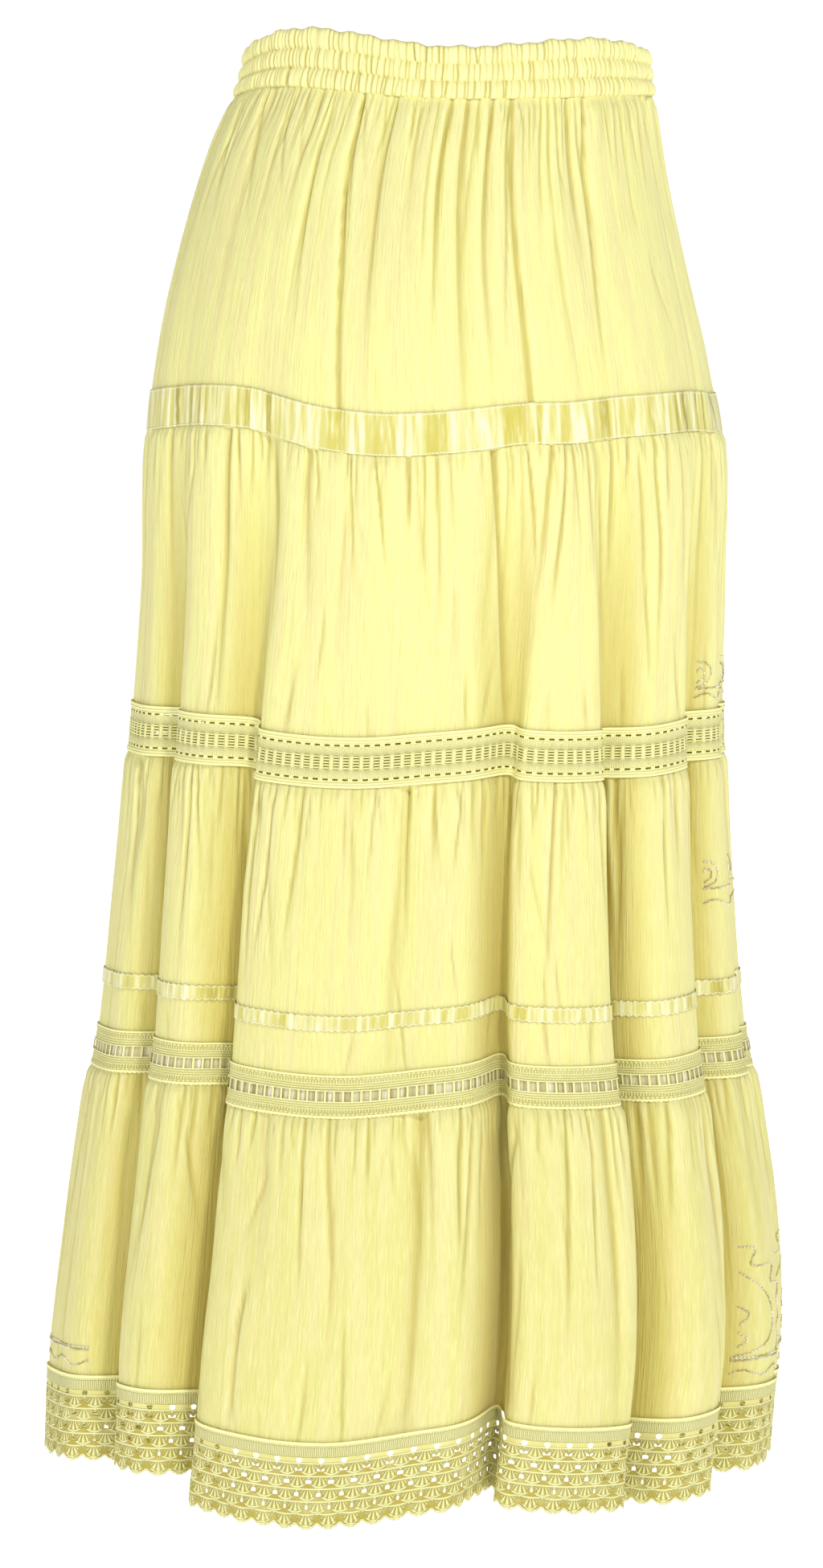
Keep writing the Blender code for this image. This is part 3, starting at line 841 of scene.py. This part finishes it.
# The main creases that the photo shows on the back: X and Z of the start and of the end in millimetres,
# depth and width in tenths of a millimetre, and which flank is the steeper, in tenths.
CREASES_1 = (
    (-76, -20, -111, -187, 26, 22, 6), (-105, -24, -103, -85, 20, 16, -5),
    (-134, -13, -154, -98, 20, 18, 4), (-121, -13, -133, -109, 20, 18, 4),
    (-67, -46, -64, -187, 14, 20, 0), (-23, -10, -25, -51, 18, 12, 4), (-1, -24, -8, -109, 26, 15, 6),
    (4, -7, 2, -28, 20, 12, 0), (14, -10, 11, -93, 18, 12, 5), (21, -7, 18, -62, 14, 11, 0),
    (39, -8, 48, -114, 26, 18, 6), (46, -8, 55, -46, 18, 13, 4), (61, -10, 63, -114, 24, 13, 5),
    (75, -9, 78, -46, 16, 12, 3), (89, -7, 96, -125, 20, 15, 5), (101, -7, 109, -65, 20, 13, 4),
    (111, -10, 120, -80, 22, 15, 5), (124, -20, 133, -91, 22, 16, 5), (73, -54, 80, -80, 10, 10, 2),
    (119, -75, 125, -106, 12, 10, 3), (-93, -15, -97, -62, 16, 13, 3), (-54, -13, -55, -67, 16, 12, 3),
    (-41, -11, -44, -52, 16, 12, -3),
)
CREASES_2 = (
    (-67, -276, -75, -376, 16, 30, 5), (-7, -242, -5, -392, 18, 20, 0), (1, -237, 4, -308, 14, 14, 3),
    (39, -241, 36, -392, 20, 26, 6), (48, -240, 46, -361, 12, 14, -3), (69, -237, 72, -276, 12, 12, 3),
    (82, -240, 88, -319, 16, 16, 5), (101, -276, 103, -403, 18, 16, 6), (111, -234, 114, -276, 14, 12, 2),
    (125, -250, 133, -403, 22, 22, 6), (-115, -242, -119, -392, 20, 26, 6),
    (-166, -253, -174, -329, 16, 18, 4), (-85, -255, -90, -287, 10, 12, 2),
    (-82, -350, -88, -398, 14, 14, 4), (153, -255, 157, -387, 12, 18, 3),
)
CREASES_3 = (
    (-68, -472, -69, -519, 14, 12, 3), (-42, -472, -41, -490, 10, 11, 2), (-8, -469, -5, -519, 22, 14, 5),
    (11, -466, 11, -498, 14, 11, 2), (24, -466, 24, -490, 14, 11, 2), (47, -466, 46, -551, 20, 18, 5),
    (57, -466, 58, -485, 12, 10, 0), (78, -464, 80, -509, 16, 13, 4), (99, -464, 98, -498, 14, 12, 3),
    (115, -458, 111, -573, 22, 26, 6), (-118, -514, -114, -599, 14, 22, 3), (3, -565, 7, -599, 9, 11, 2),
    (63, -583, 67, -621, 10, 11, 3), (71, -578, 75, -615, 10, 11, 3),
)
CREASES_4 = (
    (-108, -677, -111, -722, 22, 16, 6), (-102, -678, -101, -701, 14, 11, 2),
    (-54, -693, -53, -711, 12, 10, 2), (-38, -693, -37, -722, 14, 12, 3),
    (-23, -693, -14, -808, 16, 22, 5), (6, -690, 10, -797, 24, 26, 7), (44, -687, 33, -765, 26, 20, 6),
    (58, -686, 60, -701, 12, 10, 2), (74, -684, 75, -701, 12, 10, 2), (124, -679, 131, -765, 26, 22, 7),
    (159, -682, 163, -733, 16, 16, 4), (-172, -695, -163, -765, 26, 22, 6),
    (-120, -714, -146, -765, 16, 18, 4), (-132, -787, -151, -840, 14, 18, 3),
    (-75, -733, -84, -787, 10, 15, 2), (75, -733, 84, -808, 10, 18, 3),
)

# Each tier's layers of gathers: pitch, depth, width, reach, top and wander in tenths of a millimetre, then
# spread, lean and one side in hundredths.
tier_1, strip_1, relief_1 = tier(
    "tier_1", waist_seam, hip_seam, 0.00112, (0.0022, 0.0060), 21,
    ((44, 10, 7, 320, 0, 6, 50, 5, 0), (95, 15, 9, 750, 0, 6, 80, 5, 50),
     (300, 24, 24, 1500, 0, 10, 60, 5, 70), (800, 50, 80, 2600, 0, 10, 40, 3, 80),
     (600, 12, 26, 1100, 1200, 6, 50, 8, 70)),
    0.002, cotton, foot_flat=0.04, foot_left=0.3, drawn=CREASES_1)
tier_2, strip_2, relief_2 = tier(
    "tier_2", hip_seam, insertion_head, 0.00122, (0.0022, 0.0060), 22,
    ((56, 12, 8, 240, 0, 6, 40, 5, 0), (125, 17, 10, 550, 0, 6, 90, 5, 50),
     (450, 22, 30, 1200, 0, 10, 60, 5, 70), (1000, 44, 90, 2400, 0, 10, 40, 3, 80),
     (700, 10, 26, 800, 1100, 6, 50, 10, 70), (220, 9, 13, -350, 0, 6, 70, 12, 60)),
    0.0022, cotton, drawn=CREASES_2)
tier_3, strip_3, relief_3 = tier(
    "tier_3", insertion_foot, beading_head, 0.00132, (0.0022, 0.0060), 23,
    ((60, 12, 9, 240, 0, 6, 40, 5, 0), (135, 17, 10, 550, 0, 6, 90, 5, 50),
     (500, 20, 32, 1100, 0, 10, 60, 5, 70), (1000, 44, 90, 2300, 0, 10, 40, 3, 80),
     (700, 9, 26, 800, 1000, 6, 50, 12, 70), (260, 8, 13, -350, 0, 6, 70, 12, 60)),
    0.0022, cotton_low, drawn=CREASES_3)
tier_4, strip_4, relief_4 = tier(
    "tier_4", beading_foot, hem_head, 0.00142, (0.0023, 0.0065), 24,
    ((64, 13, 9, 280, 0, 6, 40, 5, 0), (145, 19, 11, 600, 0, 6, 90, 5, 50),
     (500, 24, 36, 1400, 0, 14, 60, 6, 70), (1000, 50, 100, 2600, 0, 14, 40, 3, 80),
     (700, 12, 30, 1000, 1300, 6, 50, 12, 70), (260, 10, 15, -500, 0, 6, 70, 12, 60)),
    0.0026, cotton_hem, drawn=CREASES_4)

# The ribbons' darker stretches on the back, painted dark stretches of the satin's reflection: X and half
# width in tenths of a millimetre, and how dark in hundredths.
RIBBON_SHADE_BLOCKS = (
    (-1906, 21, 60), (-1817, 10, 70), (-1778, 21, 100), (-1738, 10, 80), (-1686, 21, 90), (-1633, 16, 100),
    (-1592, 16, 80), (-1520, 10, 90), (-1377, 10, 90), (-1319, 21, 90), (-1167, 26, 95), (-1099, 8, 70),
    (-732, 63, 80), (-429, 79, 60), (-78, 68, 70), (431, 84, 80), (598, 16, 85), (755, 21, 60),
    (1023, 42, 90), (1096, 13, 50), (1211, 21, 40), (1332, 26, 70), (1504, 13, 100), (1557, 31, 100),
    (1688, 13, 100),
)
NARROW_SHADE_BLOCKS = (
    (-2119, 31, 70), (-2030, 26, 60), (-1909, 16, 50), (-1630, 26, 80), (-1556, 52, 90), (-1446, 52, 90),
    (-1356, 26, 70), (-1303, 16, 50), (-1082, 31, 80), (-882, 21, 50), (-735, 21, 50), (-672, 16, 60),
    (-640, 10, 60), (-545, 16, 60), (-503, 16, 50), (-451, 21, 60), (-261, 21, 70), (-24, 31, 60),
    (102, 37, 70), (371, 21, 50), (476, 42, 80), (750, 16, 60), (876, 16, 60), (950, 16, 50),
    (1081, 26, 70), (1276, 31, 60), (1592, 31, 90), (1803, 52, 90),
)

ribbon_t = 1 - WIDE_RIBBON / strip_1.height
wide_ribbon = on_tier(
    "wide_ribbon", strip_1, relief_1, ribbon_t, 1 + 0.0010 / strip_1.height, 12, 0.0012,
    satin("ribbon_satin", WIDE_RIBBON + 0.001), 0.0003, 31,
    shades=RIBBON_SHADE_BLOCKS)
foot_3 = 1 - NARROW_RIBBON_UP / strip_3.height
head_3 = foot_3 - NARROW_RIBBON / strip_3.height
narrow_ribbon = on_tier(
    "narrow_ribbon", strip_3, relief_3, head_3, foot_3, 6, 0.0010,
    satin("narrow_satin", NARROW_RIBBON), 0.0003, 32, shades=NARROW_SHADE_BLOCKS, pucker=0.0006)


def lace_band(name, head, foot, cell, lines, rows, out, material, is_hole, lift, foot_loops=0.0):
    """A band of lace whose columns and rows run along the edges of its openings. lines are the columns'
    places in a cell, and rows the distances from the middle line."""
    strip = Strip(head, foot)
    count = round(strip.length / cell)
    real = strip.length / count
    s = (np.arange(count)[:, None] * real + np.asarray(lines)[None, :] * real).ravel()
    rows = np.asarray(rows)
    t = (rows / strip.height + 0.5)[:, None]
    phase = np.tile(np.asarray(lines), count)
    points = strip.at(s[None, :], t, out + lift(phase[None, :], rows[:, None]))
    points[-1, :, 2] -= foot_loops * np.abs(np.cos(2 * np.pi * phase))
    middle_s = np.append(lines, 1.0)
    middle_s = np.tile((middle_s[1:] + middle_s[:-1]) / 2, count)
    middle_w = (rows[1:] + rows[:-1]) / 2
    keep = ~is_hole(middle_s[None, :], middle_w[:, None])
    keep = np.broadcast_to(keep, (len(rows) - 1, len(s)))
    # The UV map counts cells round, and holds the distance from the middle line.
    return ring_mesh(name, points, (s / real)[None, :], rows[:, None], count, material.made, keep), strip


def insertion_hole(phase, w):
    across = abs(phase - 0.5) * CELL
    gaps = abs((abs(w) / THREAD_STEP + 0.5) % 1 - 0.5) * THREAD_STEP > THREAD_HALF
    window = (across < WINDOW_HALF) & (abs(w) < WINDOW_TALL) & gaps
    small = (across < 0.0015) & (abs(abs(w) - HOLES_AT) < 0.00055)
    return window | small


def insertion_lift(phase, w):
    bars = ease(abs(phase - 0.5) * CELL, 0.0015, 0.0024) * (1 - ease(abs(w), 0.004, 0.006))
    return 0.0005 * bars + 0.0006 * ease(abs(w), 0.0125, 0.014) + 0.0003 * ease(abs(w), 0.005, 0.008)


threads = {k * THREAD_STEP + side * THREAD_HALF for k in range(3) for side in (-1, 1)}
other_rows = (0.0046, 0.006, 0.0078, 0.0094, 0.01065, 0.01175, 0.013, 0.0139, 0.0147, 0.0156, 0.0166)
insertion_rows = sorted({round(sign * w, 6) for w in threads if abs(w) < 0.0043 for sign in (-1, 1)}
                        | {sign * w for w in other_rows for sign in (-1, 1)})
insertion_lace = lace("insertion_crochet", lambda m: insertion_pattern(m.u, size(m.v)), CELL, deep=0.42)
lace_insertion, _ = lace_band(
    "lace_insertion", insertion_head, insertion_foot, CELL,
    (0.0, 0.12, 0.2164, 0.36, 0.5, 0.64, 0.7836, 0.88), insertion_rows, BAND_OUT, insertion_lace,
    insertion_hole, insertion_lift)


def beading_hole(phase, w):
    across = abs(phase - 0.5) * BEAD
    return (across < BEAD_HALF) & (abs(w) < BEAD_TALL)


def beading_lift(phase, w):
    near = ease(-np.maximum(abs(phase - 0.5) * BEAD - BEAD_HALF, abs(w) - BEAD_TALL), -0.0012, -0.0002)
    return 0.0007 * near + 0.0005 * ease(abs(w), 0.0095, 0.0115)


beading_half = (0.002, 0.0033, 0.0043, 0.0054, 0.0064, 0.0077, 0.009, 0.0103, 0.0114, 0.0125, 0.0137)
beading_rows = (*(-w for w in reversed(beading_half)), 0.0, *beading_half)
beading_lace = lace("beading_crochet", lambda m: beading_pattern(m.u, size(m.v)), BEAD, relief=0.0009,
                    deep=0.8)
beading, strip_beading = lace_band(
    "beading", beading_head, beading_foot, BEAD, (0.0, 0.0583, 0.1167, 0.25, 0.5, 0.75, 0.8833, 0.9417),
    beading_rows, BAND_OUT, beading_lace, beading_hole, beading_lift, foot_loops=0.0008)

threaded_s = strip_beading.columns(0.0016)
threaded_t = np.linspace(-THREADED_RIBBON / 2, THREADED_RIBBON / 2, 6)[:, None] / strip_beading.height + 0.5
rng = np.random.default_rng(33)
turns = 2 * np.pi * threaded_s / strip_beading.length
ruck = sum(np.cos(turns * rng.integers(150, 520) + rng.uniform(0, 6.3)) for _ in range(30)) / 4
threaded = strip_beading.at(threaded_s[None, :], threaded_t, BAND_OUT - 0.0009 + 0.0003 * ruck[None, :])
threaded_satin = satin("threaded_satin", THREADED_RIBBON, base=SILVER, deep=SILVER_SHADE, pale=SILVER_PALE)
threaded_ribbon = ring_mesh(
    "threaded_ribbon", threaded, threaded_s[None, :], (threaded_t - threaded_t[0]) * strip_beading.height,
    strip_beading.length, threaded_satin.made)
colour_by(threaded_ribbon, "shade", np.broadcast_to(ease(ruck, -0.2, 1.2), threaded.shape[:2]))

# Hem lace. Its grid has a column at every thirteenth of a shell.
strip_hem = Strip(hem_head, hem_foot)
shells = round(strip_hem.length / SHELL)
pitch = strip_hem.length / shells
ACROSS = 13
hem_s = np.arange(shells * ACROSS) * pitch / ACROSS
hem_v = np.concatenate([[-0.0014, 0.0, 0.0011], np.linspace(0.0022, HEM_LACE, 47)])
cell = np.broadcast_to((hem_s / pitch)[None, :], (len(hem_v), len(hem_s))).copy()
v = np.broadcast_to(hem_v[:, None], cell.shape).copy()
gap = hem_openings(cell, v)
inside = gap < 0
gone = inside[:-1] & inside[1:] & np.roll(inside, -1, 1)[:-1] & np.roll(inside, -1, 1)[1:]
# The corners of an opening move out to its edge.
for _ in range(2):
    gap = hem_openings(cell, v)
    small = 0.0001
    slope_s = (hem_openings(cell + small / pitch, v) - gap) / small
    slope_v = (hem_openings(cell, v + small) - gap) / small
    steep = np.maximum(slope_s ** 2 + slope_v ** 2, 0.3)
    move = np.where(inside, np.clip(-gap, 0, 0.0007) / steep, 0)
    cell += np.clip(move * slope_s, -0.0006, 0.0006) / pitch
    v += np.clip(move * slope_v, -0.0006, 0.0006)
scallop = 0.0038 * np.abs(np.sin(np.pi * cell)) ** 0.8 - 0.001
picot = 0.0005 * np.cos(2 * np.pi * cell * 5)
stretch = ease(v, 0.042, 0.056)
drop = stretch * (scallop - 0.0022 + picot)
hem_out = BAND_OUT + 0.0005 * (1 - ease(v, 0.0, 0.003)) + 0.0004 * hem_pattern(cell, v)
flutter = 0.0012 * np.sin(2 * np.pi * cell / 3.1) * ease(v, 0.01, 0.056)
hem_points = strip_hem.at(cell * pitch, (v + drop) / HEM_LACE, hem_out + flutter)
hem_cloth = lace("hem_crochet", lambda m: hem_pattern(m.u, m.v), SHELL, relief=0.0013, deep=1.0)
hem_lace = ring_mesh("hem_lace", hem_points, cell, v, shells, hem_cloth.made, ~gone)

# ---------------------------------------------------------------- embroidery

STITCH, STITCH_HALF, STITCH_UP = 0.0026, 0.0008, 0.00065
LINE_STEP = 0.0018
WAVE, WAVE_HIGH = 0.03, 0.0025
# Half of a leaf and half of a flower, as lines of (across, up) in millimetres from the foot of its middle.
LEAF = (
    ((2, 3), (16, 6), (28, 13), (33, 25), (30, 36), (21, 48), (6, 60)),
    ((40, 1), (47, 12), (41, 20), (53, 29), (41, 37), (49, 47), (31, 51), (35, 62), (14, 64),
     (18, 75), (6, 77)),
    ((4, 37), (12, 31), (5, 24)),
    ((4, 19), (11, 14), (4, 9)),
)
FLOWER = (
    ((1, 1), (9, 4), (12, 11), (8, 17), (1, 18)),
    ((1, 4), (6, 7), (7, 11), (3, 14), (1, 11)),
)


def curve(points):
    """A smooth line through points."""
    every = np.linspace(0, len(points) - 1, 12 * len(points))
    axes = ([length / 1000 for length in axis] for axis in zip(*points))
    return np.stack([smooth(list(enumerate(axis)), every) for axis in axes], -1)


def stitches(path):
    """The two ends of each stitch along a line."""
    along = np.concatenate([[0], np.cumsum(np.hypot(*np.diff(path, axis=0).T))])
    ends = np.linspace(0, along[-1], max(int(along[-1] / STITCH), 1) + 1)
    at = np.stack([np.interp(ends, along, path[:, n]) for n in (0, 1)], -1)
    return at[:-1], at[1:]


def embroidery(name, strip, relief, first, last, line_up, lines, wave_up, motif, spacing, material):
    """Chain stitch in metallic thread: border lines, a wave and a row of motifs, from one s to another.
    Heights are from the tier's foot."""
    paths = []
    s = np.arange(first, last, 0.002)
    for n in range(lines):
        paths.append(np.stack([s, np.full(s.shape, line_up + LINE_STEP * n)], -1))
    paths.append(np.stack([s, wave_up + WAVE_HIGH * np.sin(2 * np.pi * (s - first) / WAVE)], -1))
    count = int((last - first - spacing / 2) / spacing) + 1
    for k in range(count):
        middle = first + k * spacing
        for side in (1, -1) if k else (1,):
            for line in motif:
                half = curve(line)
                paths.append(np.stack([middle + side * half[:, 0], line_up + half[:, 1]], -1))
    starts, ends = (np.concatenate(side) for side in zip(*(stitches(path) for path in paths)))

    def on_cloth(at, out):
        t = 1 - at[:, 1] / strip.height
        return strip.at(at[:, 0], t, relief.at(at[:, 0], t) + out)

    middle = (starts + ends) / 2
    head, foot, centre = on_cloth(starts, 0.0004), on_cloth(ends, 0.0004), on_cloth(middle, 0.0004)
    normal = on_cloth(middle, 0.0014) - centre
    normal /= np.linalg.norm(normal, axis=1, keepdims=True)
    side = np.cross(foot - head, normal)
    side /= np.linalg.norm(side, axis=1, keepdims=True)
    slant = 0.0003 * np.where(np.arange(len(side)) % 2, 1, -1)[:, None] * side
    run = (foot - head) * 0.08
    corners = np.stack([head - run + slant, centre + side * STITCH_HALF, centre + normal * STITCH_UP,
                        centre - side * STITCH_HALF, centre - normal * STITCH_UP, foot + run - slant], 1)
    sides = np.array([(0, 1, 2), (0, 2, 3), (0, 3, 4), (0, 4, 1),
                      (5, 2, 1), (5, 3, 2), (5, 4, 3), (5, 1, 4)])
    faces = (np.arange(len(side)) * 6)[:, None, None] + sides[None]
    mesh = bpy.data.meshes.new(name)
    mesh.from_pydata(corners.reshape(-1, 3).tolist(), [], faces.reshape(-1, 3).tolist())
    mesh.polygons.foreach_set("use_smooth", np.ones(len(mesh.polygons), bool))
    mesh.materials.append(material)
    piece = placed(name, mesh)
    rng = np.random.default_rng(len(side))
    dark = 0.5 + 0.5 * np.sin(np.arange(len(side)) * 0.55) + rng.uniform(-0.4, 0.4, len(side))
    colour_by(piece, "shade", np.repeat(np.clip(dark, 0, 1), 6))
    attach(piece, "root")
    return piece


# The metallic thread is pale, with painted shade on some stitches that varies along each line.
metallic = Material("metallic_thread", roughness=0.38, specular=0.6)
metallic.colours(SILVER_PALE, (SILVER_SHADE, metallic.stored("shade") * 0.9))
embroidery_2 = embroidery(
    "embroidery_2", strip_2, relief_2, strip_2.seen_at(0.164, -0.40), strip_2.length - 0.03,
    0.015, 1, 0.009, FLOWER, 0.07, metallic.made)
embroidery_3 = embroidery(
    "embroidery_3", strip_3, relief_3, strip_3.seen_at(0.170, -0.54), strip_3.length - 0.03,
    0.1, 1, 0.09, FLOWER, 0.08, metallic.made)
embroidery_4 = embroidery(
    "embroidery_4", strip_4, relief_4, strip_4.seen_at(0.188, -0.85), strip_4.length + 0.03,
    0.019, 2, 0.01, LEAF, 0.15, metallic.made)

take(waistband)
take(tier_1)
take(wide_ribbon)
take(tier_2)
take(lace_insertion)
take(tier_3)
take(narrow_ribbon)
take(beading)
take(threaded_ribbon)
take(tier_4)
take(hem_lace)

# ---------------------------------------------------------------- floor, light and camera

FLOOR_Z = -1.05
floor_mesh = bpy.data.meshes.new("floor")
corners = [(x, y, FLOOR_Z) for x, y in ((-60, -20), (60, -20), (60, 100), (-60, 100))]
floor_mesh.from_pydata(corners, [], [(0, 1, 2, 3)])
floor = placed("floor", floor_mesh)
pale = bpy.data.materials.new("pale_floor")
pale.use_nodes = True
for port, value in (("Base Color", (0.96, 0.96, 0.96, 1)), ("Roughness", 0.9), ("Specular IOR Level", 0.0),
                    ("Emission Color", (1, 1, 1, 1)), ("Emission Strength", 0.74)):
    pale.node_tree.nodes["Principled BSDF"].inputs[port].default_value = value
floor_mesh.materials.append(pale)

world = bpy.data.worlds.new("studio")
world.use_nodes = True
world.node_tree.nodes["Background"].inputs["Color"].default_value = (1.0, 1.0, 1.0, 1)
world.node_tree.nodes["Background"].inputs["Strength"].default_value = 0.33
bpy.context.scene.world = world
bpy.context.scene.view_settings.view_transform = "Standard"


def soft_light(name, place, aim, wide, power):
    lamp = bpy.data.lights.new(name, "AREA")
    lamp.shape, lamp.size, lamp.energy = "DISK", wide, power
    holder = placed(name, lamp)
    holder.location = place
    holder.rotation_euler = (Vector(aim) - Vector(place)).to_track_quat("-Z", "Y").to_euler()


soft_light("key", (1.4, -3.4, 2.3), (0.0, 0.0, -0.10), 0.7, 90)
soft_light("fill", (-2.6, -3.0, 0.6), (0.0, 0.0, -0.35), 1.4, 22)
soft_light("front", (-1.2, 3.8, 1.8), (0.0, 0.0, -0.30), 1.6, 55)

CAMERA_AT, CAMERA_AIM = Vector((-0.024, -6.0, 0.3)), Vector((-0.024, 0.0, -0.475))
camera_data = bpy.data.cameras.new("camera")
camera_data.sensor_width = 36.0
camera_data.lens = 206.6
camera = placed("camera", camera_data)
camera.location = CAMERA_AT
camera.rotation_euler = (CAMERA_AIM - CAMERA_AT).to_track_quat("-Z", "Y").to_euler()
bpy.context.scene.camera = camera
